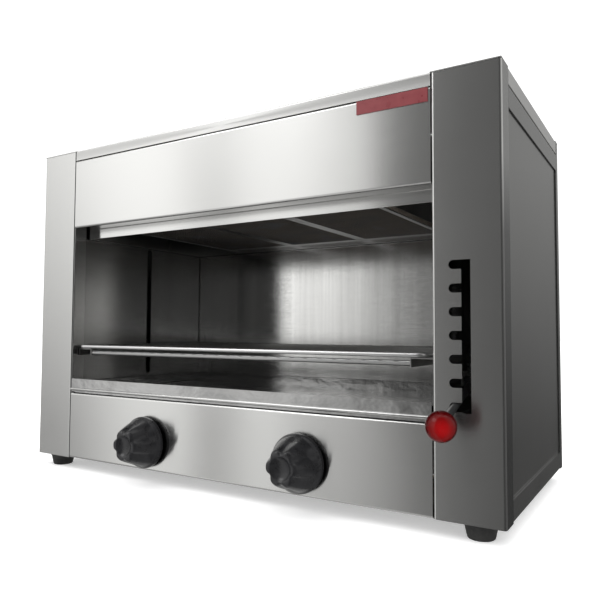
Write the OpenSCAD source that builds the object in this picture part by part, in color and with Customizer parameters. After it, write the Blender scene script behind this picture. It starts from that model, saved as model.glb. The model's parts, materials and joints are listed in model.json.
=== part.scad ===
/* [Casing] */
// Width over the two front pillars
body_w = 700; // [660:10:800]
// Depth of the casing, front face to rear face
body_d = 331; // [331:1:360]
// Height of the casing without its feet
body_h = 458; // [458:1:480]
// Height of the rubber feet
foot_h = 17; // [12:1:25]
// Width of each front pillar
pillar_w = 72; // [70:1:76]
// Thickness of the folded steel sheet
sheet = 1.2; // [1:0.1:1.2]

/* [Grill chamber] */
// Height of the lower front panel
lower_h = 95; // [90:1:95]
// Height of the underside of the upper front panel
mouth_top = 340.5; // [335:0.5:345]
// Height of the top cover's front rail
rail_h = 15; // [12:1:18]
// Depth of the chamber behind the front face
chamber_d = 285; // [285:1:286]
// Set-back of the burner hood behind the front face
hood_y = 25; // [25:1:28]
// How far the burner hood hangs below the upper front panel
hood_drop = 14; // [10:1:16]

/* [Burners] */
// Number of guard panels side by side
guard_n = 3; // [3:1:3]
// Pitch of the guard panels
guard_pitch = 134; // [110:1:136]

/* [Controls] */
// Distance between the two knobs
knob_span = 242; // [230:1:250]
// Height of the knobs and valves above the casing's underside
knob_z = 38; // [38:1:40]
// Diameter of a knob's skirt
knob_d = 68; // [60:1:70]
// How far a knob can be pushed in
knob_push = 2.5; // [2:0.5:3.5]

/* [Rack] */
// Number of notches for the height lever
notch_n = 7; // [4:1:7]
// Pitch of the notches
notch_pitch = 23.7; // [20:0.1:24]
// Height of the lowest notch above the casing's underside
notch_z = 113; // [113:0.5:114]
// Width of the lever slot
slot_w = 9.2; // [9.2:0.1:10]
// Height of the grid's wires at the lowest notch
grid_z = 163.2; // [163.2:0.1:164]
// Number of wires in the grid
wire_n = 27; // [15:2:31]
// Diameter of the ball on the lever
ball_d = 30; // [26:1:32]

/* [Hidden] */

$fn = 0;
bend_r = 2.8;            // outside radius of a fold
bend_steps = 5;          // flats round a fold
seam = 0.4;              // gap between neighbouring sheets
half_w = body_w / 2;
cav_x = half_w - pillar_w;
side_lip = 28;           // pillar's return round the side
inner_lip = 22;          // pillar's return into the chamber
rear_lip = 17;           // rear cover's return round the side
pan_h = 23;              // base pan's side flange
cap_h = 18;              // top cover's side flange
side_rail_h = 24;
panel_gap = 0.4;         // side panel behind the strips that frame it
cover_under = body_h - sheet;
pillar_h = cover_under - seam;
side_y0 = side_lip + seam;
side_y1 = body_d - rear_lip - seam;
wall_z0 = lower_h + sheet;
wall_z1 = body_h - 20;
floor_z = lower_h + seam;

// Height lever: it slopes down from its pivot, through a notch, to the ball
lever_slope = 18.35;
lever_d = 7.5;
lever_x = half_w - 49.5;
pivot_y = 60;
ball_y = -41;
lever_run = (pivot_y - ball_y) / cos(lever_slope);
pivot_z = notch_z + (pivot_y - sheet / 2) * tan(lever_slope);
channel_x = half_w - 37;
channel_low = 1;         // extra depth of the channel below the lowest notch
travel = notch_pitch * (notch_n - 1);
pin_d = 6;
eye_h = 13;
fork_t = 3.5;
fork_gap = 1.5;

front_reach = ball_d / 2 - ball_y;
rear_reach = 25;
front_y = -(body_d + rear_reach - front_reach) / 2;

rod_x = half_w - 45;
rod_y = 155;
rod_d = 10;
run_gap = 0.05;          // radial clearance of a running fit
arm_slot = 10;
arm_slot_z0 = 115;
arm_slot_z1 = 325;
rail_w = 27;
rail_top = grid_z - 3;
rail_deep = 10.2;
lift_rod_d = 6;
lift_rod_z = grid_z - 9;

hood_w = cav_x - 4;
hood_z0 = mouth_top - hood_drop;
hood_z1 = 398;
guard_z = hood_z0 + 6.5;
burner_half = guard_n * guard_pitch / 2;
burner_z0 = 340;
burner_z1 = 390;
burner_y0 = 33;
burner_y1 = 271;
tube_x = knob_span / 2;
tube_y = 308;
tube_z = 368;
tube_d = 24;
elbow_r = 20;
bell_z0 = 190;
bell_z1 = 205;
bell_d = 34;

manifold_y = 44;
manifold_z = 16;
manifold_d = 14;
inlet_x = 250;
inlet_d = 20.955;
valve_y0 = 16;
valve_y1 = 56;
valve_z0 = manifold_z + 8;
valve_z1 = 2 * knob_z - valve_z0;
spindle_d = 8;
spindle_y0 = -30;
spindle_y1 = 28;
knob_gap = knob_push + 0.5;
knob_l = 38;
pipe_d = 8;
pipe_r = 12;
foot_x = half_w - 30;
foot_y0 = 22;
foot_y1 = body_d - 22;
tray_z = floor_z + 0.4;
tray_w = cav_x - 6;
tray_side_h = 15.2;
tray_front_h = 20;

// Direction from one point to the next
function heading(a, b) = (b - a) / norm(b - a);
// Direction square to v, on its left
function left_of(v) = [-v[1], v[0]];
// Angle turned between directions u and v
function turned(u, v) = atan2(u[0] * v[1] - u[1] * v[0], u * v);
// Direction v turned by angle a
function turn(v, a) = [v[0] * cos(a) - v[1] * sin(a), v[0] * sin(a) + v[1] * cos(a)];

// Round stretch at corner i of the face that lies off to the left of line p
function bend_arc(p, i, off, t, r) =
    let (u = heading(p[i - 1], p[i]))
    let (a = turned(u, heading(p[i], p[i + 1])))
    let (s = sign(a))
    let (r0 = s > 0 ? r : r - t)
    let (centre = p[i] - u * r0 * tan(abs(a) / 2) + left_of(u) * s * r0)
    [for (k = [0:bend_steps]) centre - s * (r0 - s * off) * turn(left_of(u), a * k / bend_steps)];

// One face of a folded sheet
function fold_face(p, off, t, r) = concat(
    [p[0] + left_of(heading(p[0], p[1])) * off],
    [for (i = [1:len(p) - 2]) each bend_arc(p, i, off, t, r)],
    [p[len(p) - 1] + left_of(heading(p[len(p) - 2], p[len(p) - 1])) * off]
);

function reversed(list) = [for (i = [len(list) - 1:-1:0]) list[i]];

// Section of a sheet folded along line p, with its thickness on the line's left
module fold(p, t = sheet, r = bend_r) {
    polygon(concat(fold_face(p, 0, t, r), reversed(fold_face(p, t, t, r))));
}

// Sections drawn in YZ, XZ and XY, and stretched along the third axis
module along_x(x0, x1) translate([x0, 0, 0]) rotate([90, 0, 90]) linear_extrude(x1 - x0) children();
module along_y(y0, y1) translate([0, y1, 0]) rotate([90, 0, 0]) linear_extrude(y1 - y0) children();
module along_z(z0, z1) translate([0, 0, z0]) linear_extrude(z1 - z0) children();

// Places a piece drawn from the casing's front face and underside
module placed() translate([0, front_y, foot_h]) children();
module on_left() mirror([1, 0, 0]) children();

// Block between two opposite corners
module block(a, b) translate(a) cube(b - a);

// Flat slot with round ends, centred, w wide over all
module stadium(w, h) {
    d = min(w, h);
    square([w > h ? w - d : w, w > h ? h : h - d], center = true);
    for (s = [-1, 1]) {
        translate(w > h ? [s * (w - d) / 2, 0] : [0, s * (h - d) / 2]) circle(d = d);
    }
}

// Rows of vent slots
module vents(columns, rows, pitch_x, pitch_y, w, h) {
    for (i = [0:columns - 1], j = [0:rows - 1]) {
        translate([(i - (columns - 1) / 2) * pitch_x, j * pitch_y]) stadium(w, h);
    }
}

// Casing
module base_pan() {
    tongue_x0 = cav_x + 4;
    tongue_x1 = half_w - 4;
    color("silver") placed() difference() {
        union() {
            along_y(side_y0, side_y1) fold([[-half_w, pan_h], [-half_w, 0], [half_w, 0], [half_w, pan_h]]);
            block([1 - cav_x, 20 + seam, 0], [cav_x - 1, side_y0 + 1, sheet]);
            block([-tongue_x1, side_y1 - 1, 0], [tongue_x1, body_d - sheet - seam, sheet]);
            block([tongue_x0, 4, 0], [tongue_x1, side_y0 + 1, sheet]);
            block([-tongue_x1, 4, 0], [-tongue_x0, side_y0 + 1, sheet]);
        }
        along_z(-1, 2) translate([0, 110]) vents(8, 2, 62, 90, 8, 60);
        for (x = [-foot_x, foot_x], y = [foot_y0, foot_y1]) translate([x, y, -1]) cylinder(h = 3, d = 6.6);
    }
}

module lower_fascia() {
    color("gainsboro") placed() difference() {
        along_x(seam - cav_x, cav_x - seam) fold([[14, lower_h], [0, lower_h], [0, 0], [20, 0]]);
        for (s = [-1, 1]) {
            translate([s * knob_span / 2, 2, knob_z]) rotate([90, 0, 0]) cylinder(h = 4, d = 12);
        }
    }
}

module upper_fascia() {
    top = body_h - rail_h - seam;
    color("whitesmoke") placed() along_x(seam - cav_x, cav_x - seam)
        fold([[10, top], [0, top], [0, mouth_top], [24, mouth_top], [24, mouth_top + 10]]);
}

module top_cover() {
    color("gainsboro") placed() difference() {
        union() {
            along_x(seam - cav_x, cav_x - seam)
                fold([[body_d, body_h], [0, body_h], [0, body_h - rail_h]]);
            along_y(side_y0, side_y1) fold([
                [half_w, body_h - cap_h], [half_w, body_h], [-half_w, body_h], [-half_w, body_h - cap_h]
            ]);
            block([cav_x - 1, 0, cover_under], [half_w, side_y0, body_h]);
            block([-half_w, 0, cover_under], [1 - cav_x, side_y0, body_h]);
            block([-half_w, side_y1, cover_under], [half_w, body_d, body_h]);
        }
        along_z(cover_under - 1, body_h + 1) translate([0, 196]) vents(6, 3, 84, 30, 66, 8);
    }
}

module lever_slot() {
    translate([channel_x - slot_w / 2, notch_z - slot_w / 2 - channel_low])
        square([slot_w, travel + slot_w + channel_low]);
    for (n = [0:notch_n - 1]) translate([lever_x - seam, notch_z + n * notch_pitch]) {
        circle(d = slot_w);
        translate([0, -slot_w / 2]) square([channel_x - lever_x, slot_w]);
    }
}

module pillar_sheet() {
    along_z(0, pillar_h) fold([[cav_x, inner_lip], [cav_x, 0], [half_w, 0], [half_w, side_lip]]);
}
module pillar_left() color("silver") placed() on_left() pillar_sheet();
module pillar_right() {
    color("gray") placed() difference() {
        pillar_sheet();
        along_y(-1, 3) lever_slot();
    }
}

module side_panel() {
    x1 = half_w - sheet - panel_gap;
    block([x1 - sheet, 12, 12], [x1, body_d - 9, body_h - 28]);
}
module side_panel_left() color("dimgray") placed() on_left() side_panel();
module side_panel_right() color("dimgray") placed() side_panel();

module side_rail() {
    z1 = body_h - cap_h - seam;
    along_y(side_y0, side_y1) fold([[half_w, z1 - side_rail_h], [half_w, z1], [half_w - 12, z1]]);
}
module side_rail_left() color("gray") placed() on_left() side_rail();
module side_rail_right() color("gray") placed() side_rail();

module rear_cover() {
    color("silver") placed() difference() {
        along_z(0, pillar_h) fold([
            [half_w, body_d - rear_lip], [half_w, body_d], [-half_w, body_d], [-half_w, body_d - rear_lip]
        ]);
        along_y(body_d - 3, body_d + 1) {
            translate([0, 60]) vents(12, 1, 34, 0, 8, 50);
            translate([0, 350]) vents(12, 2, 48, 46, 8, 36);
            translate([inlet_x, manifold_z]) circle(d = inlet_d + 1.6);
        }
    }
}

// Grill chamber
module cavity_wall() {
    difference() {
        along_z(wall_z0, wall_z1) fold([
            [cav_x + 14, chamber_d - 0.2], [cav_x, chamber_d - 0.2], [cav_x, inner_lip + seam]
        ]);
        along_x(cav_x - 1, cav_x + 3) translate([rod_y, (arm_slot_z0 + arm_slot_z1) / 2])
            stadium(arm_slot, arm_slot_z1 - arm_slot_z0);
    }
}
module cavity_wall_left() color("darkgray") placed() on_left() cavity_wall();
module cavity_wall_right() color("darkgray") placed() cavity_wall();

module cavity_back() {
    color("gainsboro") placed() difference() {
        block([-cav_x - 14, chamber_d + 0.2, wall_z0], [cav_x + 14, chamber_d + 0.2 + sheet, wall_z1]);
        along_y(chamber_d - 1, chamber_d + 3)
            for (s = [-1, 1]) translate([s * tube_x, tube_z]) circle(d = tube_d + 6);
    }
}

module cavity_floor() {
    x1 = cav_x - seam;
    color("silver") placed() along_y(15, chamber_d - 0.2)
        fold([[x1, floor_z - 25], [x1, floor_z], [-x1, floor_z], [-x1, floor_z - 25]]);
}

// Burners
module burner_hood() {
    y1 = chamber_d - 6;
    color("whitesmoke") placed() difference() {
        union() {
            along_x(-hood_w, hood_w)
                fold([[y1, hood_z0], [y1, hood_z1], [hood_y, hood_z1], [hood_y, hood_z0]]);
            for (x = [-hood_w, hood_w - sheet]) {
                block([x, hood_y + 1, hood_z0], [x + sheet, y1 - 1, hood_z1 - 1]);
            }
        }
        along_y(y1 - 3, y1 + 1) for (s = [-1, 1]) translate([s * tube_x, tube_z]) circle(d = tube_d + 6);
    }
}

module burner() {
    wall = 1.5;
    difference() {
        block([1, burner_y0, burner_z0], [burner_half, burner_y1, burner_z1]);
        block(
            [1 + wall, burner_y0 + wall, burner_z0 - 1],
            [burner_half - wall, burner_y1 - wall, burner_z1 - wall]
        );
        along_y(burner_y1 - 3, burner_y1 + 1) translate([tube_x, tube_z]) circle(d = tube_d + 0.6);
    }
}
module burner_left() color("darkgray") placed() on_left() burner();
module burner_right() color("darkgray") placed() burner();

module ceramic() {
    tile_h = 12;
    x0 = 3;
    x1 = burner_half - 2;
    y0 = burner_y0 + 2;
    y1 = burner_y1 - 2;
    z0 = burner_z0 + 1;
    difference() {
        block([x0, y0, z0], [x1, y1, z0 + tile_h]);
        for (i = [1:2]) translate([x0 + i * (x1 - x0) / 3 - 0.5, y0 - 1, z0 - 1]) cube([1, y1 - y0 + 2, 4]);
        translate([x0 - 1, (y0 + y1) / 2 - 0.5, z0 - 1]) cube([x1 - x0 + 2, 1, 4]);
    }
}
module ceramic_left() color("tan") placed() on_left() ceramic();
module ceramic_right() color("tan") placed() ceramic();

module guard(index) {
    w = guard_pitch - 1;
    y0 = hood_y + 2;
    y1 = chamber_d - 8;
    rim = 7;
    bars = 16;
    pitch = (y1 - y0 - 2 * rim) / bars;
    placed() translate([(index - 1) * guard_pitch, 0, guard_z]) difference() {
        block([-w / 2, y0, 0], [w / 2, y1, sheet]);
        for (i = [0:bars - 1]) {
            translate([rim - w / 2, y0 + rim + i * pitch + 1, -1]) cube([w - 2 * rim, pitch - 2, 3]);
        }
    }
}
module guard_left() color("dimgray") guard(0);
module guard_centre() color("dimgray") guard(1);
module guard_right() color("dimgray") guard(2);

// Gas train
module mixing_tube() {
    wall = 1.2;
    bore = tube_d - 2 * wall;
    arm = tube_y - elbow_r;
    rise = tube_z - elbow_r - bell_z1;
    translate([tube_x, 0, 0]) difference() {
        union() {
            translate([0, tube_y, bell_z0]) cylinder(h = bell_z1 - bell_z0, d1 = bell_d, d2 = tube_d);
            translate([0, tube_y, bell_z1]) cylinder(h = rise, d = tube_d);
            elbow(arm, tube_z - elbow_r, tube_d);
            translate([0, arm, tube_z]) rotate([90, 0, 0]) cylinder(h = arm - burner_y1 + 3, d = tube_d);
        }
        translate([0, tube_y, bell_z0 - 0.01])
            cylinder(h = bell_z1 - bell_z0 + 0.02, d1 = bell_d - 2 * wall, d2 = bore);
        translate([0, tube_y, bell_z1]) cylinder(h = rise, d = bore);
        elbow(arm, tube_z - elbow_r, bore);
        translate([0, arm, tube_z]) rotate([90, 0, 0]) cylinder(h = arm - burner_y1 + 4, d = bore);
    }
}
// Quarter bend in the YZ plane, from upright at y + elbow_r to level, about (y, z)
module elbow(y, z, d, r = elbow_r) {
    translate([0, y, z]) rotate([90, 0, 90]) rotate_extrude(angle = 90) translate([r, 0]) circle(d = d);
}
module mixing_tube_left() color("silver") placed() on_left() mixing_tube();
module mixing_tube_right() color("silver") placed() mixing_tube();

module injector() {
    translate([tube_x, tube_y, bell_z0 - 20]) {
        cylinder(h = 14, d = 17, $fn = 6);
        translate([0, 0, 14]) cylinder(h = 8, d1 = 11, d2 = 6);
    }
}
module injector_left() color("goldenrod") placed() on_left() injector();
module injector_right() color("goldenrod") placed() injector();

module gas_manifold() {
    color("goldenrod") placed() union() {
        translate([-tube_x - 22, manifold_y, manifold_z]) rotate([0, 90, 0])
            cylinder(h = inlet_x + tube_x + 22, d = manifold_d);
        translate([inlet_x, manifold_y, manifold_z]) sphere(d = manifold_d);
        translate([inlet_x, manifold_y, manifold_z]) rotate([-90, 0, 0])
            cylinder(h = body_d - 13 - manifold_y, d = manifold_d);
        for (s = [-1, 1]) translate([s * tube_x, manifold_y, manifold_z]) cylinder(h = 7.8, d = 11);
    }
}

module gas_inlet() {
    color("goldenrod") placed() translate([inlet_x, 0, manifold_z]) rotate([-90, 0, 0]) difference() {
        union() {
            translate([0, 0, body_d - 12.8]) cylinder(h = 14, d = 19);
            translate([0, 0, body_d + 0.3]) cylinder(h = 6.7, d = 29, $fn = 6);
            translate([0, 0, body_d + 6]) cylinder(h = rear_reach - 6, d = inlet_d);
        }
        translate([0, 0, body_d - 8]) cylinder(h = rear_reach + 10, d = 13);
    }
}

module gas_valve() {
    bore = spindle_d + 2 * run_gap;
    difference() {
        union() {
            block([tube_x - 15, valve_y0 + 8, valve_z0], [tube_x + 15, valve_y1, valve_z1]);
            translate([tube_x, valve_y0, knob_z]) rotate([-90, 0, 0]) cylinder(h = 10, d = 20);
            translate([tube_x, valve_y1 - 1, knob_z]) rotate([-90, 0, 0]) cylinder(h = 9, d = 14, $fn = 6);
        }
        translate([tube_x, valve_y0 - 1, knob_z]) rotate([-90, 0, 0]) cylinder(h = 35, d = bore);
    }
}
module gas_valve_left() color("goldenrod") placed() on_left() gas_valve();
module gas_valve_right() color("goldenrod") placed() gas_valve();

module supply_pipe() {
    y0 = valve_y1 + 8.2;
    translate([tube_x, 0, 0]) {
        translate([0, y0, knob_z]) rotate([-90, 0, 0]) cylinder(h = tube_y - pipe_r - y0, d = pipe_d);
        translate([0, tube_y - pipe_r, knob_z + pipe_r]) rotate([90, 0, 90]) rotate([0, 0, -90])
            rotate_extrude(angle = 90) translate([pipe_r, 0]) circle(d = pipe_d);
        translate([0, tube_y, knob_z + pipe_r]) cylinder(h = bell_z0 - 20.2 - knob_z - pipe_r, d = pipe_d);
    }
}
module supply_pipe_left() color("peru") placed() on_left() supply_pipe();
module supply_pipe_right() color("peru") placed() supply_pipe();

// Controls
module valve_plunger() {
    translate([tube_x, spindle_y1 + 0.3, knob_z]) rotate([-90, 0, 0]) cylinder(h = 7.7, d = spindle_d);
}
module valve_plunger_left() color("silver") placed() on_left() valve_plunger();
module valve_plunger_right() color("silver") placed() valve_plunger();

module spindle() {
    translate([tube_x, spindle_y0, knob_z]) rotate([-90, 0, 0])
        cylinder(h = spindle_y1 - spindle_y0, d = spindle_d);
}
module spindle_left() color("silver") placed() on_left() spindle();
module spindle_right() color("silver") placed() spindle();

// Gas knob: a round skirt, and a tapered grip with round flutes and a dished end
module knob() {
    lobes = 6;
    r = knob_d / 2;
    z1 = knob_gap + knob_l;
    grip_z = knob_gap + 9;
    grip_r = r - 3;
    end_r = 20;
    dish_r = 12.5;
    flute_r = 14;
    flute_deep = 3.2;
    taper = atan((grip_r - end_r) / (z1 - grip_z));
    bore_end = 0.5 - spindle_y0;
    translate([tube_x, 0, knob_z]) rotate([90, 0, 0]) difference() {
        rotate_extrude() polygon([
            [0, knob_gap], [r - 1.5, knob_gap], [r, knob_gap + 1.5], [r, knob_gap + 5],
            [r - 1, knob_gap + 7], [grip_r, grip_z], [end_r + 1, z1 - 2.5], [end_r - 2, z1 - 0.5],
            [end_r - 4, z1], [dish_r + 1, z1], [dish_r - 1, z1 - 2], [0, z1 - 3]
        ]);
        for (i = [0:lobes - 1]) rotate((i + 0.5) * 360 / lobes) {
            translate([grip_r + flute_r - flute_deep, 0, grip_z]) rotate([0, -taper, 0])
                cylinder(h = knob_l, r = flute_r);
        }
        translate([0, 0, knob_gap - 1]) cylinder(h = bore_end - knob_gap + 1, d = spindle_d + 0.1);
    }
}
module knob_left() color([0.08, 0.08, 0.08]) placed() on_left() knob();
module knob_right() color([0.08, 0.08, 0.08]) placed() knob();

// Lifting rack
module guide_rod() translate([rod_x, rod_y, sheet + 0.2]) cylinder(h = wall_z1 - 4 - sheet, d = rod_d);
module guide_rod_left() color("silver") placed() on_left() guide_rod();
module guide_rod_right() color("silver") placed() guide_rod();

module rod_bracket() {
    z1 = wall_z1 - 8;
    x0 = cav_x + sheet + 0.2;
    difference() {
        along_y(rod_y - 15, rod_y + 15) fold([[rod_x + 16, z1], [x0, z1], [x0, z1 - 28]]);
        translate([rod_x, rod_y, z1 - 3]) cylinder(h = 4, d = rod_d + 0.1);
    }
}
module rod_bracket_left() color("silver") placed() on_left() rod_bracket();
module rod_bracket_right() color("silver") placed() rod_bracket();

module carriage() {
    z0 = rail_top - 20;
    difference() {
        union() {
            block([rod_x - 13, rod_y - 13, z0], [rod_x + 13, rod_y + 13, z0 + 32]);
            block([cav_x - 1.4, rod_y - 3.5, z0 + 4], [rod_x - 12, rod_y + 3.5, z0 + 19]);
            children();
        }
        translate([rod_x, rod_y, z0 - 60]) cylinder(h = 120, d = rod_d + 2 * run_gap);
    }
}
module carriage_left() color("darkgray") placed() on_left() carriage();
module carriage_right() {
    low = pivot_z - eye_h / 2 - fork_gap;
    high = pivot_z + eye_h / 2 + fork_gap;
    root_y = rod_y - 13;
    color("darkgray") placed() difference() {
        carriage() {
            block([lever_x - 10, pivot_y - 6, low - fork_t], [lever_x + 10, root_y, low]);
            block([lever_x - 10, pivot_y - 10, high], [lever_x + 10, root_y, high + fork_t]);
            block([lever_x - 10, root_y - 12, low - fork_t], [lever_x + 10, root_y + 1, rail_top - 8]);
        }
        translate([lever_x, pivot_y, low - fork_t - 1])
            cylinder(h = high - low + 2 * fork_t + 2, d = pin_d + 0.1);
    }
}

module lift_rail() {
    x1 = cav_x - 1.5;
    z0 = rail_top - rail_deep;
    along_y(12, 272) fold([[x1, z0], [x1, rail_top], [x1 - rail_w, rail_top], [x1 - rail_w, z0]], 1.2, 2);
}
module lift_rail_left() color("dimgray") placed() on_left() lift_rail();
module lift_rail_right() color("dimgray") placed() lift_rail();

module lift_rod(y) {
    reach = cav_x - 1.5 - rail_w - 0.1;
    color("silver") placed() translate([-reach, y, lift_rod_z]) rotate([0, 90, 0])
        cylinder(h = 2 * reach, d = lift_rod_d);
}
module lift_rod_front() lift_rod(16);
module lift_rod_rear() lift_rod(266);

module rack_grid() {
    rim_d = 5;
    wire_d = 3.5;
    x1 = cav_x - 10.5;
    y0 = 6;
    y1 = 276;
    brace_x = cav_x - 32;
    color("silver") placed() {
        for (y = [y0, y1]) translate([-x1, y, grid_z]) rotate([0, 90, 0]) cylinder(h = 2 * x1, d = rim_d);
        for (x = [-x1, x1]) {
            translate([x, y0, grid_z]) rotate([-90, 0, 0]) cylinder(h = y1 - y0, d = rim_d);
            for (y = [y0, y1]) translate([x, y, grid_z]) sphere(d = rim_d);
        }
        for (i = [1:wire_n]) {
            x = -x1 + i * 2 * x1 / (wire_n + 1);
            translate([x, y0, grid_z]) rotate([-90, 0, 0]) cylinder(h = y1 - y0, d = wire_d);
        }
        for (y = [95, 185]) {
            translate([-brace_x, y, grid_z - 3.6]) rotate([0, 90, 0]) cylinder(h = 2 * brace_x, d = 4);
        }
    }
}

// Height lever
module lever_axis() translate([lever_x, pivot_y, pivot_z]) rotate([90 + lever_slope, 0, 0]) children();
module lever_arm() {
    color([0.15, 0.15, 0.15]) placed() difference() {
        union() {
            lever_axis() cylinder(h = lever_run + 6, d = lever_d);
            translate([lever_x, pivot_y, pivot_z - eye_h / 2]) cylinder(h = eye_h, d = 16);
        }
        translate([lever_x, pivot_y, pivot_z - eye_h]) cylinder(h = 2 * eye_h, d = pin_d + 2 * run_gap);
    }
}
module lever_ball() {
    color("red") placed() lever_axis() difference() {
        translate([0, 0, lever_run]) sphere(d = ball_d);
        translate([0, 0, lever_run - ball_d]) cylinder(h = ball_d + 6.5, d = lever_d + 0.1);
    }
}
module lever_pin() {
    reach = eye_h / 2 + fork_gap + fork_t;
    color("silver") placed() translate([lever_x, pivot_y, pivot_z - reach - 0.5]) {
        cylinder(h = 2 * reach + 8, d = pin_d);
        translate([0, 0, 2 * reach + 8]) cylinder(h = 2, d = 12);
        translate([0, 0, -2]) cylinder(h = 2, d = 10);
    }
}
module lever_spring() {
    wire = 1.5;
    coil_r = 4.5;
    z0 = pivot_z + eye_h / 2 + fork_gap + fork_t + wire / 2 + 0.2;
    color("darkgray") placed() translate([lever_x, pivot_y, z0]) for (i = [0:3]) {
        translate([0, 0, i * (wire - 0.1)]) rotate_extrude() translate([coil_r, 0]) circle(d = wire);
    }
}

// Drip tray: a folded pan with a plain front band that has a rolled lower edge
module drip_tray() {
    y1 = chamber_d - 3;
    front_x = cav_x - 1;
    bead_z = tray_z + 4.6;
    color("lightgray") placed() {
        along_y(1, y1) fold([
            [-tray_w, tray_z + tray_side_h], [-tray_w, tray_z],
            [tray_w, tray_z], [tray_w, tray_z + tray_side_h]
        ]);
        block([-tray_w + 1, y1 - sheet, tray_z], [tray_w - 1, y1, tray_z + tray_side_h]);
        block([-front_x, 0.2, tray_z + 1.2], [front_x, 0.2 + sheet, tray_z + tray_front_h]);
        translate([-front_x, 0.4, bead_z]) rotate([0, 90, 0]) cylinder(h = 2 * front_x, d = 4.6);
    }
}

// Feet and badge
module foot() {
    difference() {
        union() {
            cylinder(h = foot_h - 3, d1 = 28, d2 = 34);
            translate([0, 0, foot_h - 3]) cylinder(h = 3, d = 36);
        }
        translate([0, 0, -1]) cylinder(h = 9, d = 13);
        cylinder(h = foot_h + 1, d = 6.6);
    }
}
module foot_at(x, y) color([0.1, 0.1, 0.1]) translate([x, front_y + y, 0]) foot();
module foot_front_left() foot_at(-foot_x, foot_y0);
module foot_front_right() foot_at(foot_x, foot_y0);
module foot_rear_left() foot_at(-foot_x, foot_y1);
module foot_rear_right() foot_at(foot_x, foot_y1);

module badge_plate() {
    color("firebrick") placed() translate([cav_x - 44, -0.02, body_h - rail_h - 8.5])
        along_y(-1, 0) square([82, 15], center = true);
}

base_pan();
lower_fascia();
upper_fascia();
top_cover();
pillar_left();
pillar_right();
side_panel_left();
side_panel_right();
side_rail_left();
side_rail_right();
rear_cover();
cavity_wall_left();
cavity_wall_right();
cavity_back();
cavity_floor();
burner_hood();
burner_left();
burner_right();
ceramic_left();
ceramic_right();
guard_left();
guard_centre();
guard_right();
mixing_tube_left();
mixing_tube_right();
injector_left();
injector_right();
gas_manifold();
gas_inlet();
gas_valve_left();
gas_valve_right();
supply_pipe_left();
supply_pipe_right();
valve_plunger_left();
valve_plunger_right();
spindle_left();
spindle_right();
knob_left();
knob_right();
guide_rod_left();
guide_rod_right();
rod_bracket_left();
rod_bracket_right();
carriage_left();
carriage_right();
lift_rail_left();
lift_rail_right();
lift_rod_front();
lift_rod_rear();
rack_grid();
lever_arm();
lever_ball();
lever_pin();
lever_spring();
drip_tray();
foot_front_left();
foot_front_right();
foot_rear_left();
foot_rear_right();
badge_plate();
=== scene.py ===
import json
import math

import bmesh
import bpy
from mathutils import Matrix, Vector


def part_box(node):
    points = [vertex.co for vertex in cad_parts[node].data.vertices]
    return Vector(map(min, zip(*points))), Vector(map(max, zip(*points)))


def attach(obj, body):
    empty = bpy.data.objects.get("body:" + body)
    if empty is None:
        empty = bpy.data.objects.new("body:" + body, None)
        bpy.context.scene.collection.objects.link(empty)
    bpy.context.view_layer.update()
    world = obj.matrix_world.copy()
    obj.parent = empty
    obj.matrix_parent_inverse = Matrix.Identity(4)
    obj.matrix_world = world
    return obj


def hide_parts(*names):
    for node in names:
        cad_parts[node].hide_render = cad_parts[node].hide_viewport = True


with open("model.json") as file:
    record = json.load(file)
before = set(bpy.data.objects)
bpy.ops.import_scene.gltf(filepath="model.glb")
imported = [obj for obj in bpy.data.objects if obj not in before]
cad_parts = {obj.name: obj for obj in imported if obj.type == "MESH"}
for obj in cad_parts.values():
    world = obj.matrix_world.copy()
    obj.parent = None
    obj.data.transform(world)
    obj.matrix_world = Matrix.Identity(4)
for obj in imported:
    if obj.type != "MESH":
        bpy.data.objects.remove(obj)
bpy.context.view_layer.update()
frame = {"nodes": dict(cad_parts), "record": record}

MM = 0.001
SIDES = ("left", "right")
NODES = frame["nodes"]
BODY_OF = {n: b for b, ns in frame["record"]["behaviour"]["bodies"].items() for n in ns}
SLOT_OF = {s["node"]: s["material_slot"] for s in frame["record"]["subparts"]}


# ---------------------------------------------------------------- node helpers
class NodeTree:
    """A node tree whose nodes are added one call at a time."""

    def __init__(self, tree):
        self.tree = tree

    def node(self, kind, **settings):
        made = self.tree.nodes.new(kind)
        for key, value in settings.items():
            setattr(made, key, value)
        return made

    def link(self, a, b):
        self.tree.links.new(a, b)

    def feed(self, socket, value):
        """Links another node's output to the socket, or sets a constant on it."""
        if isinstance(value, bpy.types.NodeSocket):
            self.link(value, socket)
        else:
            socket.default_value = value

    def split(self, vector):
        made = self.node("ShaderNodeSeparateXYZ")
        self.link(vector, made.inputs["Vector"])
        return made.outputs["X"], made.outputs["Y"], made.outputs["Z"]

    def remap(self, value, low, high, out_low, out_high):
        made = self.node("ShaderNodeMapRange")
        made.inputs["From Min"].default_value = low
        made.inputs["From Max"].default_value = high
        made.inputs["To Min"].default_value = out_low
        made.inputs["To Max"].default_value = out_high
        self.link(value, made.inputs["Value"])
        return made.outputs["Result"]

    def math(self, operation, *values):
        made = self.node("ShaderNodeMath", operation=operation)
        for socket, value in zip(made.inputs, values):
            self.feed(socket, value)
        return made.outputs["Value"]

    def ramp(self, value, *stops):
        """Colours along a value; each stop is a position and a colour."""
        made = self.node("ShaderNodeValToRGB")
        elements = made.color_ramp.elements
        for position, colour in stops[1:-1]:
            elements.new(position)
        for element, (position, colour) in zip(elements, stops):
            element.position = position
            element.color = (*colour, 1.0)
        self.link(value, made.inputs["Fac"])
        return made.outputs["Color"]

    def mixed(self, amount, a, b):
        made = self.node("ShaderNodeMix", data_type="RGBA")
        self.link(amount, made.inputs["Factor"])
        self.feed(made.inputs["A"], a)
        self.feed(made.inputs["B"], b)
        return made.outputs["Result"]


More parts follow.
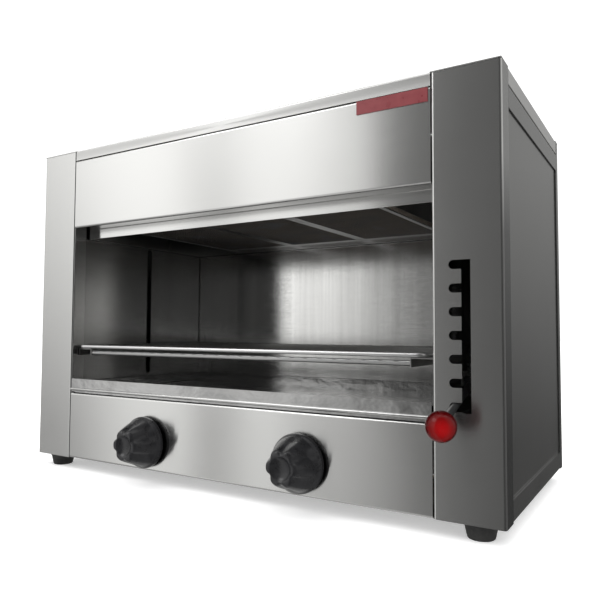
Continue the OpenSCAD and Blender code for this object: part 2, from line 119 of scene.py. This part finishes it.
class Shader(NodeTree):
    """A new material."""

    def __init__(self, name):
        self.material = bpy.data.materials.new(name)
        self.material.use_nodes = True
        super().__init__(self.material.node_tree)
        self.bsdf = self.tree.nodes["Principled BSDF"]
        coordinates = self.node("ShaderNodeTexCoord")
        self.place = coordinates.outputs["Object"]
        self.normal = coordinates.outputs["Normal"]

    def set(self, **values):
        for key, value in values.items():
            self.bsdf.inputs[key.replace("_", " ")].default_value = value

    def noise(self, stretch, detail, rough):
        mapping = self.node("ShaderNodeMapping")
        mapping.inputs["Scale"].default_value = stretch
        self.link(self.place, mapping.inputs["Vector"])
        tex = self.node("ShaderNodeTexNoise")
        tex.inputs["Scale"].default_value = 1.0
        tex.inputs["Detail"].default_value = detail
        tex.inputs["Roughness"].default_value = rough
        self.link(mapping.outputs["Vector"], tex.inputs["Vector"])
        return tex.outputs["Fac"]

    def along(self, vector, direction):
        """How far a vector reaches along a fixed direction."""
        made = self.node("ShaderNodeVectorMath", operation="DOT_PRODUCT")
        made.inputs[1].default_value = direction
        self.link(vector, made.inputs[0])
        return made.outputs["Value"]

    def colour(self, output):
        self.link(output, self.bsdf.inputs["Base Color"])

    def roughness(self, output):
        self.link(output, self.bsdf.inputs["Roughness"])

    def bump(self, height, strength, distance):
        made = self.node("ShaderNodeBump")
        made.inputs["Strength"].default_value = strength
        made.inputs["Distance"].default_value = distance
        self.link(height, made.inputs["Height"])
        self.link(made.outputs["Normal"], self.bsdf.inputs["Normal"])


# ------------------------------------------------------------------- materials
ACROSS = (14, 14, 2200)
ALONG_X = (14, 2200, 2200)
FINE_GROOVE = 0.0012 * MM


def brushed_steel(name, colour, rough, spread, grain=ACROSS, streak=0.0, groove=FINE_GROOVE, painted_shade_from=0.0):
    """Stainless sheet with brush lines: grain is the noise stretch that draws them, spread the anisotropy
    and streak the strength of upright heat streaks. Skin past the last argument's x gets painted shade low
    down."""
    s = Shader(name)
    lines = s.noise(grain, 4.0, 0.7)
    smears = s.noise((9, 9, 7), 3.0, 0.5)
    tone = s.math("ADD", s.remap(lines, 0.3, 0.7, -0.5, 0.5), s.remap(smears, 0.3, 0.7, -0.4, 0.4))
    low = tuple(colour * k for k in (0.97, 0.965, 0.955))
    high = tuple(min(1.0, colour * k) for k in (1.03, 1.03, 1.02))
    if streak:
        tone = s.math("ADD", tone, s.remap(s.noise((38, 38, 0.9), 4.0, 0.65), 0.35, 0.65, -streak, streak))
        low = tuple(k * (1 - 0.2 * streak) for k in low)
    base = s.ramp(s.remap(tone, -0.9 - streak, 0.9 + streak, 0, 1), (0.0, low), (1.0, high))
    # Painted shade: past that x the skin's colour is mixed towards dark grey below 380 mm, fully below 300
    # mm.
    if painted_shade_from:
        x, _, z = s.split(s.place)
        outer = s.remap(s.math("ABSOLUTE", x), painted_shade_from, painted_shade_from + 1.5 * MM, 0, 1)
        lower = s.remap(z, 300 * MM, 380 * MM, 1, 0)
        base = s.mixed(s.math("MULTIPLY", outer, lower), base, (0.22, 0.22, 0.22, 1.0))
    s.colour(base)
    s.roughness(s.remap(s.math("ADD", lines, smears), 0.6, 1.4, rough - 0.02, rough + 0.03))
    s.bump(lines, 1.0, groove)
    s.set(Metallic=1.0, Anisotropic=spread, Anisotropic_Rotation=0.25)
    axis = "Z" if grain == ACROSS else "Y"
    tangent = s.node("ShaderNodeTangent", direction_type="RADIAL", axis=axis)
    s.link(tangent.outputs["Tangent"], s.bsdf.inputs["Tangent"])
    return s.material


def polished_steel(name, colour, rough, wave):
    """Smooth sheet with wiping marks, and slow waves of the given height."""
    s = Shader(name)
    ripple = s.noise((26, 26, 40), 3.0, 0.5)
    wipe = s.noise((12, 300, 300), 3.0, 0.6)
    s.colour(s.ramp(wipe, (0.3, (colour * 0.96,) * 3), (0.7, (colour, colour * 0.995, colour * 0.985))))
    s.roughness(s.remap(wipe, 0.3, 0.7, rough - 0.03, rough + 0.04))
    s.bump(ripple, 0.5, wave)
    s.set(Metallic=1.0)
    return s.material


def plain_steel():
    s = Shader("folded_steel")
    mottle = s.noise((60, 60, 60), 4.0, 0.6)
    s.colour(s.ramp(mottle, (0.3, (0.357, 0.357, 0.353)), (0.7, (0.42, 0.42, 0.416))))
    s.roughness(s.remap(mottle, 0.3, 0.7, 0.30, 0.44))
    s.bump(mottle, 0.15, 0.2 * MM)
    s.set(Metallic=1.0)
    return s.material


def bright_metal(name, colour, rough):
    s = Shader(name)
    draw = s.noise((250, 250, 250), 3.0, 0.6)
    s.colour(s.ramp(draw, (0.3, tuple(c * 0.93 for c in colour)), (0.7, colour)))
    s.roughness(s.remap(draw, 0.3, 0.7, rough - 0.04, rough + 0.06))
    s.bump(draw, 0.08, 0.1 * MM)
    s.set(Metallic=1.0)
    return s.material


def ceramic():
    """Porous tile with a close grid of small round holes."""
    s = Shader("porous_ceramic")
    pitch = 2.4 * MM
    x, y, _ = s.split(s.place)
    waves = [s.math("SINE", s.math("MULTIPLY", along, 2 * math.pi / pitch)) for along in (x, y)]
    holes = s.math("MULTIPLY", *waves)
    grain = s.noise((400, 400, 400), 3.0, 0.6)
    # Painted shade: the hole centres are painted near black for the shade inside them; the grain adds
    # random tone.
    hole_shade_and_grain = s.math("ADD", holes, s.remap(grain, 0, 1, -0.15, 0.15))
    s.colour(s.ramp(hole_shade_and_grain, (0.35, (0.42, 0.37, 0.31)), (0.62, (0.05, 0.045, 0.04))))
    s.bump(holes, 0.5, 0.4 * MM)
    s.set(Roughness=0.9)
    return s.material


def heated_wire():
    s = Shader("heat_darkened_wire")
    tint = s.noise((14, 14, 14), 3.0, 0.6)
    dull, straw, blue = (0.16, 0.15, 0.15), (0.22, 0.20, 0.18), (0.26, 0.27, 0.29)
    s.colour(s.ramp(tint, (0.3, dull), (0.55, straw), (0.75, blue)))
    s.roughness(s.remap(tint, 0.3, 0.7, 0.38, 0.55))
    s.bump(tint, 0.2, 0.2 * MM)
    s.set(Metallic=1.0)
    return s.material


def black_phenolic():
    s = Shader("black_phenolic")
    cloud = s.noise((90, 90, 90), 4.0, 0.6)
    s.colour(s.ramp(cloud, (0.3, (0.010, 0.010, 0.011)), (0.7, (0.020, 0.020, 0.022))))
    s.roughness(s.remap(cloud, 0.3, 0.7, 0.24, 0.36))
    s.bump(s.noise((700, 700, 700), 2.0, 0.5), 0.06, 0.1 * MM)
    s.set(Coat_Weight=0.25, Coat_Roughness=0.12, Specular_IOR_Level=0.3)
    return s.material


def red_phenolic():
    """Red moulding with painted light: lighter on the side that faces the front, darker towards the lever.
    """
    s = Shader("red_phenolic")
    cloud = s.noise((60, 60, 60), 3.0, 0.5)
    # Painted highlight and shade: the colour follows which way the surface faces, lit towards the front and
    # shaded towards the lever; the cloud adds a little random mottle.
    front = s.along(s.normal, (0.35, -0.93, 0.0))
    painted_light_and_mottle = s.math("ADD", front, s.remap(cloud, 0.3, 0.7, -0.04, 0.04))
    s.colour(s.ramp(
        s.remap(painted_light_and_mottle, -0.2, 1.0, 0, 1),
        (0.0, (0.02, 0.001, 0.001)), (0.55, (0.055, 0.0005, 0.001)),
        (0.85, (0.14, 0.001, 0.0015)), (1.0, (0.25, 0.001, 0.002)),
    ))
    s.roughness(s.remap(cloud, 0.3, 0.7, 0.14, 0.24))
    s.bump(cloud, 0.05, 0.3 * MM)
    s.set(Coat_Weight=0.05, Coat_Roughness=0.06, Specular_IOR_Level=0.16)
    return s.material


def black_rubber():
    s = Shader("black_rubber")
    grain = s.noise((500, 500, 500), 3.0, 0.6)
    dust = s.noise((40, 40, 40), 3.0, 0.6)
    s.colour(s.ramp(dust, (0.35, (0.012, 0.012, 0.012)), (0.75, (0.035, 0.034, 0.032))))
    s.roughness(s.remap(grain, 0.3, 0.7, 0.6, 0.8))
    s.bump(grain, 0.25, 0.3 * MM)
    return s.material


def black_coating():
    s = Shader("black_coating")
    grain = s.noise((300, 300, 300), 3.0, 0.6)
    s.colour(s.ramp(grain, (0.3, (0.018, 0.018, 0.018)), (0.7, (0.032, 0.032, 0.033))))
    s.roughness(s.remap(grain, 0.3, 0.7, 0.3, 0.42))
    s.bump(grain, 0.15, 0.2 * MM)
    return s.material


def red_enamel():
    s = Shader("red_enamel")
    cloud = s.noise((80, 80, 80), 3.0, 0.5)
    s.colour(s.ramp(cloud, (0.3, (0.15, 0.022, 0.027)), (0.7, (0.19, 0.032, 0.037))))
    s.roughness(s.remap(cloud, 0.3, 0.7, 0.25, 0.36))
    s.bump(s.noise((400, 400, 400), 2.0, 0.5), 0.05, 0.05 * MM)
    s.set(Coat_Weight=0.2, Coat_Roughness=0.2)
    return s.material


SIDE_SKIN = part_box("pillar_right")[1].x - 2.2 * MM
FRONT_STEEL = brushed_steel("stainless_front", colour=0.64, rough=0.145, spread=0.96, groove=0.012 * MM)
SIDE_STEEL = brushed_steel("stainless_side", colour=0.52, rough=0.18, spread=0.92)
TOP_STEEL = brushed_steel("stainless_top", colour=0.60, rough=0.30, spread=0.75, grain=ALONG_X)
WALL_STEEL = brushed_steel("stainless_chamber_side", colour=0.50, rough=0.15, spread=0.97)
# The pillars carry painted shade on the lower part of their outer side skin.
PILLAR_STEEL = brushed_steel(
    "stainless_pillar", colour=0.62, rough=0.17, spread=0.96, groove=0.03 * MM, painted_shade_from=SIDE_SKIN)
BACK_STEEL = brushed_steel(
    "stainless_chamber_back", colour=0.88, rough=0.085, spread=0.97, groove=0.045 * MM, streak=1.2)
TRAY_STEEL = polished_steel("stainless_tray", colour=0.48, rough=0.14, wave=1.8 * MM)
SHEET_STEEL = plain_steel()
BRASS = bright_metal("machined_brass", (0.66, 0.47, 0.19), 0.26)
TUBE_ALUMINIUM = bright_metal("drawn_aluminium", (0.74, 0.74, 0.75), 0.28)
GROUND_STEEL = bright_metal("ground_steel", (0.66, 0.66, 0.67), 0.18)
GRID_CHROME = bright_metal("plated_wire", (0.78, 0.78, 0.78), 0.34)
ROD_STEEL = bright_metal("drawn_rod", (0.52, 0.52, 0.52), 0.36)
CERAMIC = ceramic()
WIRE = heated_wire()
PHENOLIC = black_phenolic()
RED_BALL = red_phenolic()
RUBBER = black_rubber()
COATING = black_coating()
ENAMEL = red_enamel()

SLOT_MATERIAL = {
    "brushed_stainless": FRONT_STEEL, "casing_stainless": SIDE_STEEL, "polished_stainless": WALL_STEEL,
    "sheet_steel": SHEET_STEEL, "burner_ceramic": CERAMIC, "burner_mesh": WIRE, "gas_brass": BRASS,
    "supply_pipe_aluminium": TUBE_ALUMINIUM, "bright_steel": GROUND_STEEL, "grid_chrome": GRID_CHROME,
    "knob_black": PHENOLIC, "lever_black": COATING, "ball_red": RED_BALL, "foot_rubber": RUBBER,
    "badge_red": ENAMEL,
}
NODE_MATERIAL = {
    "pillar_left": PILLAR_STEEL, "pillar_right": PILLAR_STEEL, "top_cover": TOP_STEEL,
    "cavity_back": BACK_STEEL, "cavity_floor": TRAY_STEEL, "drip_tray": TRAY_STEEL,
    "burner_hood": FRONT_STEEL, "lift_rod_front": ROD_STEEL, "lift_rod_rear": ROD_STEEL,
}


def paint_cad():
    for name, obj in NODES.items():
        material = NODE_MATERIAL.get(name, SLOT_MATERIAL[SLOT_OF[name]])
        obj.data.materials.clear()
        obj.data.materials.append(material)


# ------------------------------------------------------------------ mesh tools
def finish_piece(name, bm, material, node, smooth, replaces=True):
    """Turns a bmesh in the row frame into a piece that stands for a CAD node, or rides beside it."""
    bmesh.ops.remove_doubles(bm, verts=bm.verts, dist=1e-6)
    bmesh.ops.recalc_face_normals(bm, faces=bm.faces)
    limit = math.radians(smooth)
    for face in bm.faces:
        face.smooth = True
    for edge in bm.edges:
        edge.smooth = len(edge.link_faces) == 2 and edge.calc_face_angle(0) < limit
    mesh = bpy.data.meshes.new(name)
    bm.to_mesh(mesh)
    bm.free()
    obj = bpy.data.objects.new(name, mesh)
    bpy.context.scene.collection.objects.link(obj)
    mesh.materials.append(material)
    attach(obj, BODY_OF[node])
    if replaces:
        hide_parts(node)


def add_grid(bm, rows):
    """Faces between successive rings of points; each row is one ring's points."""
    made = [[bm.verts.new(p) for p in row] for row in rows]
    count = len(made[0])
    for a, b in zip(made, made[1:]):
        for i in range(count):
            j = (i + 1) % count
            bm.faces.new((a[i], a[j], b[j], b[i]))
    return made


def close_ends(bm, made):
    bm.faces.new(list(reversed(made[0])))
    bm.faces.new(made[-1])


def circle(steps):
    """Angles of equal steps round a full turn."""
    return [2 * math.pi * k / steps for k in range(steps)]


def add_lathe(bm, profile, turn, steps=64, radius_of=None, caps=True):
    """Turns (radius, height) points about the local Z of the matrix; radius_of may shape each radius."""
    rows = []
    for r, h in profile:
        ring = []
        for a in circle(steps):
            reach = radius_of(r, h, a) if radius_of else r
            ring.append(turn @ Vector((reach * math.cos(a), reach * math.sin(a), h)))
        rows.append(ring)
    made = add_grid(bm, rows)
    if caps:
        close_ends(bm, made)


def add_tube(bm, points, radius, sides=10, caps=True):
    """A round wire along the points, which need not be straight."""
    points = [Vector(p) for p in points]
    side = None
    rows = []
    for i, p in enumerate(points):
        ahead = points[min(i + 1, len(points) - 1)] - points[max(i - 1, 0)]
        ahead.normalize()
        if side is None:
            side = ahead.orthogonal().normalized()
        side = (side - ahead * side.dot(ahead)).normalized()
        up = ahead.cross(side)
        rows.append([p + radius * (side * math.cos(a) + up * math.sin(a)) for a in circle(sides)])
    made = add_grid(bm, rows)
    if caps:
        close_ends(bm, made)


def rounded(points, radius, steps=4):
    """A (radius, height) outline whose inner corners are rounded by short curves."""
    out = [points[0]]
    for a, b, c in zip(points, points[1:], points[2:]):
        a, b, c = Vector(a), Vector(b), Vector(c)
        u, v = a - b, c - b
        cut = min(radius, u.length * 0.45, v.length * 0.45)
        p, q = b + u.normalized() * cut, b + v.normalized() * cut
        for k in range(steps + 1):
            t = k / steps
            out.append(tuple(p * (1 - t) ** 2 + b * 2 * t * (1 - t) + q * t * t))
    out.append(points[-1])
    return out


def facing(origin, axis):
    """A matrix whose local Z runs along axis from origin."""
    return Matrix.Translation(origin) @ Vector(axis).to_track_quat("Z", "Y").to_matrix().to_4x4()


# ---------------------------------------------------------------------- pieces
def make_knob(side):
    """Gas knob: a round skirt, and a tapered grip with six valleys and a dished end."""
    node = f"knob_{side}"
    low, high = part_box(node)
    centre = (low + high) / 2
    turn = facing(Vector((centre.x, high.y, centre.z)), (0, -1, 0))
    r = (high.x - low.x) / 2
    h = high.y - low.y
    end_r = 20 * MM
    grip_h = 9 * MM
    lobes = 6
    valley_deep = 3.6 * MM
    outline = rounded([
        (4.2 * MM, 0), (r - 1 * MM, 0), (r, 1.2 * MM), (r, 5 * MM), (r - 1.2 * MM, 7 * MM),
        (r - 2.6 * MM, grip_h), (r - 5.5 * MM, h * 0.46), (end_r + 4.5 * MM, h * 0.72),
        (end_r + 1 * MM, h - 3 * MM), (end_r - 1 * MM, h - 0.6 * MM), (end_r - 3.5 * MM, h),
        (13.5 * MM, h - 0.2 * MM), (12 * MM, h - 1.8 * MM), (9.5 * MM, h - 3.6 * MM),
        (5 * MM, h - 4.8 * MM), (0.2 * MM, h - 5 * MM),
    ], 1.6 * MM)

    def lobed(radius, height, angle):
        start = max(0.0, min(1.0, (height - grip_h) / (8 * MM)))
        reach = max(0.0, min(1.0, (radius - 14 * MM) / (4 * MM)))
        valley = (0.5 - 0.5 * math.cos(lobes * angle)) ** 2
        return radius - valley_deep * start * start * (3 - 2 * start) * reach * valley

    bm = bmesh.new()
    add_lathe(bm, outline, turn, 128, lobed)
    finish_piece(f"knob_{side}_grip", bm, PHENOLIC, node, smooth=50)


def make_ball():
    """Ball knob, turned about the sloping lever, with its neck where the lever goes in."""
    node = "lever_ball"
    low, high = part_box(node)
    centre = (low + high) / 2
    r = (high.x - low.x) / 2
    lever_slope = math.radians(18.35)
    axis = Vector((0, -math.cos(lever_slope), -math.sin(lever_slope)))
    bore_r = 3.9 * MM
    neck = 0.36
    steps = 32
    outline = []
    for k in range(steps + 1):
        a = neck + (math.pi - neck) * k / steps
        outline.append((max(r * math.sin(a), 0.05 * MM), -r * math.cos(a)))
    outline.insert(0, (bore_r, outline[0][1] + 1.5 * MM))
    bm = bmesh.new()
    add_lathe(bm, outline, facing(centre, axis))
    finish_piece("lever_ball_knob", bm, RED_BALL, node, smooth=50)


def make_foot(name):
    """Tapered rubber foot with a flange at its top and a recess for its screw."""
    low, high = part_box(name)
    centre = (low + high) / 2
    turn = facing(Vector((centre.x, centre.y, low.z)), (0, 0, 1))
    h = high.z - low.z
    r = (high.x - low.x) / 2
    bore_r = 3.4 * MM
    recess_r = 6.6 * MM
    recess_h = 8 * MM
    outline = rounded([
        (bore_r, recess_h), (recess_r, recess_h), (recess_r, 0.0), (r * 0.75, 0.0), (r * 0.80, 3 * MM),
        (r * 0.92, h - 4 * MM), (r * 0.94, h - 3 * MM), (r, h - 2.6 * MM), (r, h), (bore_r, h),
    ], 1.2 * MM)
    bm = bmesh.new()
    add_lathe(bm, outline, turn, caps=False)
    finish_piece(f"{name}_rubber", bm, RUBBER, name, smooth=45)


def make_grid():
    """Welded wire grid: a rim with round corners, close wires from front to back, two braces below."""
    node = "rack_grid"
    low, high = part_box(node)
    rim = 2.5 * MM
    wire = 1.75 * MM
    z = high.z - rim
    x1, y0, y1 = high.x - rim, low.y + rim, high.y - rim
    corner = 9 * MM
    loop = []
    for cx, cy, start in ((x1, y0, -90), (x1, y1, 0), (-x1, y1, 90), (-x1, y0, 180)):
        mid = Vector((cx - math.copysign(corner, cx), cy + (corner if cy == y0 else -corner), z))
        for k in range(7):
            a = math.radians(start + 15 * k)
            loop.append(mid + corner * Vector((math.cos(a), math.sin(a), 0)))
    loop += loop[:2]
    bm = bmesh.new()
    add_tube(bm, loop, rim, 14, caps=False)
    count = 27
    for i in range(1, count + 1):
        x = -x1 + i * 2 * x1 / (count + 1)
        add_tube(bm, [(x, y0, z), (x, (y0 + y1) / 2, z), (x, y1, z)], wire)
    brace_r = 2 * MM
    brace_x = x1 - 21.5 * MM
    brace_z = z - 3.6 * MM
    for y in (y0 + 89 * MM, y0 + 179 * MM):
        add_tube(bm, [(-brace_x, y, brace_z), (0, y, brace_z), (brace_x, y, brace_z)], brace_r)
    finish_piece("rack_grid_wires", bm, GRID_CHROME, node, smooth=60)


def corners(low, high, inset, z):
    """A rectangle of four points, set in from a box."""
    x0, x1, y0, y1 = low.x + inset, high.x - inset, low.y + inset, high.y - inset
    return [Vector((x0, y0, z)), Vector((x1, y0, z)), Vector((x1, y1, z)), Vector((x0, y1, z))]


def make_guard(name):
    """Burner guard: a bright folded rim round a woven wire mesh."""
    low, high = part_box(name)
    rim = 7 * MM
    bm = bmesh.new()
    add_grid(bm, [
        corners(low, high, 0, low.z), corners(low, high, 0, high.z), corners(low, high, rim, high.z),
        corners(low, high, rim, low.z + 0.2 * MM), corners(low, high, 0, low.z),
    ])
    finish_piece(f"{name}_rim", bm, SHEET_STEEL, name, smooth=30)
    pitch = 4 * MM
    wire = 0.55 * MM
    lift = (high.z - low.z) / 2 - wire
    first, _, last, _ = corners(low, high, rim, (low.z + high.z) / 2)
    count_x, count_y = round((last.x - first.x) / pitch), round((last.y - first.y) / pitch)
    step_x, step_y = (last.x - first.x) / count_x, (last.y - first.y) / count_y

    def crossing(i, j, over):
        """Where wires i and j cross, on the upper or the lower side of the weave."""
        rise = lift if ((i + j) % 2 == 1) == over else -lift
        return first + Vector((i * step_x, j * step_y, rise))

    bm = bmesh.new()
    for i in range(1, count_x):
        add_tube(bm, [crossing(i, j, True) for j in range(count_y + 1)], wire, 5)
    for j in range(1, count_y):
        add_tube(bm, [crossing(i, j, False) for i in range(count_x + 1)], wire, 5)
    finish_piece(f"{name}_mesh", bm, WIRE, name, smooth=80, replaces=False)


def make_spring():
    node = "lever_spring"
    low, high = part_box(node)
    centre = (low + high) / 2
    wire = 0.75 * MM
    pitch = 1.55 * MM
    r = (high.x - low.x) / 2 - wire
    rise = high.z - low.z - 2 * wire
    turns = rise / pitch
    steps = int(turns * 24)
    path = []
    for k in range(steps + 1):
        a = 2 * math.pi * turns * k / steps
        z = low.z + wire + rise * k / steps
        path.append((centre.x + r * math.cos(a), centre.y + r * math.sin(a), z))
    bm = bmesh.new()
    add_tube(bm, path, wire * 0.95)
    finish_piece("lever_spring_coil", bm, GROUND_STEEL, node, smooth=60)


def make_inlet():
    """Gas inlet: a hexagon, and a pipe thread with a bore."""
    node = "gas_inlet"
    low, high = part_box(node)
    centre = (low + high) / 2
    end = high.y - low.y
    hex_low, hex_high = end - 24.7 * MM, end - 18 * MM
    hex_r, shank_r, neck_r, bore_r, tip_r = 14.5 * MM, 9.5 * MM, 9.2 * MM, 6.5 * MM, 0.2 * MM
    pitch, crest, root = 1.814 * MM, 10.47 * MM, 9.32 * MM
    thread_low = hex_high + 1.5 * MM
    outline = [
        (tip_r, 0), (shank_r, 0), (shank_r, hex_low), (hex_r, hex_low), (hex_r, hex_low + 1 * MM),
        (hex_r, hex_high - 1 * MM), (hex_r, hex_high), (neck_r, hex_high), (neck_r, thread_low),
    ]
    steps = int((end - 1 * MM - thread_low) / pitch * 8)
    outline += [(crest, thread_low + k * pitch / 8) for k in range(steps)]
    outline += [
        (9.3 * MM, end), (7.4 * MM, end), (bore_r, end - 0.9 * MM), (bore_r, 5 * MM), (tip_r, 5 * MM),
    ]

    def shaped(radius, height, angle):
        if radius == hex_r:
            flat = radius * math.cos(math.pi / 6) / math.cos(angle % (math.pi / 3) - math.pi / 6)
            edge = min(height - hex_low, hex_high - height)
            return min(flat, 13.2 * MM + edge * 1.7)
        if radius == crest:
            phase = (height / pitch + angle / (2 * math.pi)) % 1.0
            return root + (crest - root) * min(1.0, 2.4 * min(phase, 1 - phase))
        return radius

    bm = bmesh.new()
    add_lathe(bm, outline, facing(Vector((centre.x, low.y, centre.z)), (0, 1, 0)), 96, shaped)
    finish_piece("gas_inlet_fitting", bm, BRASS, node, smooth=32)


def add_screw_head(bm, place):
    """Domed screw head on a wall that faces the rear, with a cross recess."""
    turn = facing(place, (0, 1, 0))
    r, h = 3.6 * MM, 1.7 * MM
    rings = 12
    angles = circle(48)
    rows = [[turn @ Vector((r * math.cos(a), r * math.sin(a), 0)) for a in angles]]
    for k in range(rings + 1):
        rho = r * (1 - k / rings) + 0.02 * MM
        ring = []
        for a in angles:
            x, y = rho * math.cos(a), rho * math.sin(a)
            dome = h * math.sqrt(max(0.0, 1 - 0.85 * (rho / r) ** 2))
            recessed = rho < 0.62 * r and min(abs(x), abs(y)) < 0.13 * r
            ring.append(turn @ Vector((x, y, dome - (h * 0.55 if recessed else 0.0))))
        rows.append(ring)
    made = add_grid(bm, rows)
    bm.faces.new(made[-1])


def make_rear_screws():
    low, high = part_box("rear_cover")
    inset = 8.5 * MM
    end_gap = 30 * MM
    side_count, top_count = 4, 4
    bm = bmesh.new()
    for x in (low.x + inset, high.x - inset):
        for k in range(side_count):
            z = low.z + end_gap + k * (high.z - low.z - 2 * end_gap) / (side_count - 1)
            add_screw_head(bm, Vector((x, high.y, z)))
    for k in range(1, top_count + 1):
        x = low.x + k * (high.x - low.x) / (top_count + 1)
        add_screw_head(bm, Vector((x, high.y, high.z - inset)))
    finish_piece("rear_cover_screws", bm, GROUND_STEEL, "rear_cover", smooth=50, replaces=False)


# ------------------------------------------------------------- stage and light
def make_camera():
    """The photograph's viewing angle: in front, to the right, a little below the casing's middle."""
    origin = Vector((490, -752.3, 205)) * MM
    yaw, pitch, roll = math.radians(31.545), math.radians(2.876), math.radians(0.27)
    ahead = Vector((-math.sin(yaw) * math.cos(pitch), math.cos(yaw) * math.cos(pitch), math.sin(pitch)))
    right = Vector((math.cos(yaw), math.sin(yaw), 0))
    up = right.cross(ahead)
    right, up = right * math.cos(roll) + up * math.sin(roll), up * math.cos(roll) - right * math.sin(roll)
    data = bpy.data.cameras.new("camera")
    data.lens = 36.76
    data.sensor_width = 36.0
    data.clip_start = 0.01
    camera = bpy.data.objects.new("camera", data)
    bpy.context.scene.collection.objects.link(camera)
    camera.matrix_world = Matrix.Translation(origin) @ Matrix((right, up, -ahead)).transposed().to_4x4()
    bpy.context.scene.camera = camera


def area_light(name, place, aim, size, power):
    data = bpy.data.lights.new(name, "AREA")
    data.shape = "RECTANGLE"
    data.size, data.size_y = size
    data.energy = power
    light = bpy.data.objects.new(name, data)
    bpy.context.scene.collection.objects.link(light)
    light.matrix_world = facing(Vector(place), Vector(place) - Vector(aim))
    light.visible_camera = False


def make_floor():
    bm = bmesh.new()
    bmesh.ops.create_circle(bm, cap_ends=True, segments=96, radius=14.0)
    mesh = bpy.data.meshes.new("floor")
    bm.to_mesh(mesh)
    bm.free()
    floor = bpy.data.objects.new("floor", mesh)
    bpy.context.scene.collection.objects.link(floor)
    s = Shader("pale_floor")
    s.set(Base_Color=(0.97, 0.97, 0.97, 1), Roughness=0.9, Specular_IOR_Level=0.1)
    s.set(Emission_Color=(1, 1, 1, 1), Emission_Strength=0.35)
    mesh.materials.append(s.material)
    floor.visible_glossy = False


def make_world():
    """A pale studio, plain except in reflections, which see soft light and dark panels round the object."""
    world = bpy.data.worlds.new("studio")
    bpy.context.scene.world = world
    world.use_nodes = True
    w = NodeTree(world.node_tree)
    x, y, z = w.split(w.node("ShaderNodeTexCoord").outputs["Generated"])
    bearing = w.math("ARCTAN2", x, w.math("MULTIPLY", y, -1.0))
    turn = w.math("ADD", w.math("DIVIDE", bearing, 2 * math.pi), 0.5)

    def panorama(*stops):
        """Brightness all the way round: bearings in degrees, 0 in front of the object, + to its right."""
        colours = [(degrees / 360 + 0.5, (level, level, level * 0.985)) for degrees, level in stops]
        return w.ramp(turn, *colours)

    low = panorama(
        (-180, 0.40), (-150, 0.60), (-110, 0.40), (-80, 0.35), (-54, 0.36), (-51, 0.50), (-48.7, 0.80),
        (-46, 0.98), (-42, 0.96), (-41.2, 0.56), (-38.6, 0.50), (-37, 0.80), (-35.8, 0.93), (-33.6, 0.91),
        (-32.8, 0.62), (-29, 0.58), (-25, 0.46), (-23, 0.40), (-21.5, 0.24), (-16, 0.14), (-9, 0.09),
        (20, 0.07), (60, 0.07), (90, 0.35), (120, 0.30), (152, 0.30), (162, 0.07), (173, 0.06), (180, 0.40),
    )
    high = panorama(
        (-180, 0.70), (-150, 0.95), (-110, 0.60), (-80, 0.80), (-56, 1.10), (-51, 1.38), (-49, 1.52),
        (-43.2, 1.50), (-42, 1.20), (-38.4, 1.08), (-37.4, 1.36), (-32, 1.42), (-30.5, 1.28), (-27, 1.04),
        (-25, 0.92), (-23.9, 0.30), (-21, 0.20), (-16, 0.15), (-9, 0.12), (20, 0.08), (60, 0.08),
        (90, 0.70), (120, 0.75), (152, 0.70), (162, 0.28), (173, 0.27), (180, 0.70),
    )
    lit = w.mixed(w.remap(z, -0.17, 0.26, 0, 1), low, high)
    glossy = w.node("ShaderNodeLightPath").outputs["Is Glossy Ray"]
    background = w.tree.nodes["Background"]
    w.link(w.mixed(glossy, (1.25, 1.25, 1.25, 1.0), lit), background.inputs["Color"])
    background.inputs["Strength"].default_value = 1.0


make_camera()
make_floor()
make_world()
area_light("key_light", place=(-1.6, -1.6, 2.4), aim=(0, 0, 0.2), size=(1.6, 1.2), power=14)
area_light("top_light", place=(0.3, 0.4, 2.6), aim=(0, 0, 0.4), size=(2.2, 2.2), power=10)
bpy.context.scene.view_settings.view_transform = "Standard"

paint_cad()
for side in SIDES:
    make_knob(side)
make_ball()
for end in ("front", "rear"):
    for side in SIDES:
        make_foot(f"foot_{end}_{side}")
make_grid()
for place in ("left", "centre", "right"):
    make_guard(f"guard_{place}")
make_spring()
make_inlet()
make_rear_screws()
